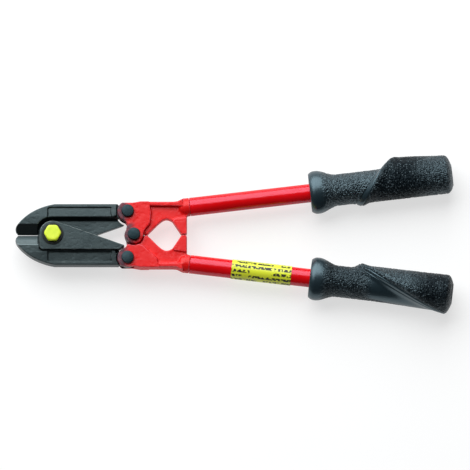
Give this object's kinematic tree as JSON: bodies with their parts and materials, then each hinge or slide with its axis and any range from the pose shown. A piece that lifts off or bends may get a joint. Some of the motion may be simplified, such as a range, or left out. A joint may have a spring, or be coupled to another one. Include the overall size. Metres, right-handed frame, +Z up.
{
  "type": "rescue cutter",
  "caption": "Long-handled rescue bolt cutter: lapped forged jaws with straight edges, compound-lever handle heads, steel tube handles and twisted moulded grips.",
  "frame": {"origin": "on the jaw pivot's axis, in the plane that the tool rests on when it lies on its side", "axes": "+X from the jaws to the grips, +Y across the tool to the upper handle, +Z up along the pivots"},
  "size_m": [0.4589, 0.1678, 0.0469],
  "materials": {
    "forged_jaw": "drop-forged steel, dark blue-grey oxide, satin, fine scale texture",
    "yellow_bolt": "lime-yellow coated steel",
    "black_steel": "black-oxide steel",
    "red_forging": "red powder coat over a drop-forged surface",
    "red_tube": "smooth glossy red powder coat",
    "tube_plug": "moulded black plastic",
    "grip": "black moulded rubber, pebbled with smooth twisting bands",
    "label": "yellow printed plastic film",
    "blued_pin": "blued steel, satin"
  },
  "bodies": {
    "lower_handle": {"lower_handle_head": "red_forging", "lower_handle_tube": "red_tube", "lower_tube_plug": "tube_plug", "lower_grip": "grip", "tube_label": "label", "handle_pivot_pin": "blued_pin", "handle_pivot_washer": "black_steel", "lower_link_pin": "blued_pin", "lower_link_washer": "black_steel"},
    "upper_handle": {"upper_handle_head": "red_forging", "upper_handle_tube": "red_tube", "upper_tube_plug": "tube_plug", "upper_grip": "grip", "upper_link_pin": "blued_pin", "upper_link_washer": "black_steel"},
    "lower_jaw": {"lower_jaw": "forged_jaw", "jaw_pivot_bolt": "yellow_bolt", "jaw_pivot_front_washer": "black_steel", "jaw_pivot_rear_washer": "black_steel", "jaw_pivot_nut": "black_steel"},
    "upper_jaw": {"upper_jaw": "forged_jaw"}
  },
  "joints": [
    {"name": "handle_open", "type": "hinge", "parent": "lower_handle", "child": "upper_handle", "pos_m": [0.0852, 0, 0.0195], "axis": [0, 0, 1], "range_deg": [0, 80]},
    {"name": "lower_jaw_link", "type": "hinge", "parent": "lower_handle", "child": "lower_jaw", "pos_m": [0.0786, -0.0246, 0.0195], "axis": [0, 0, 1], "range_deg": [0, 47]},
    {"name": "jaw_pivot", "type": "hinge", "parent": "lower_jaw", "child": "upper_jaw", "pos_m": [0, 0, 0.0195], "axis": [0, 0, 1], "range_deg": [-13.5, 0]}
  ],
  "couplings": [
    {"joint": "lower_jaw_link", "follows": "handle_open", "ratio": 0.582},
    {"joint": "jaw_pivot", "follows": "handle_open", "ratio": -0.1641}
  ]
}
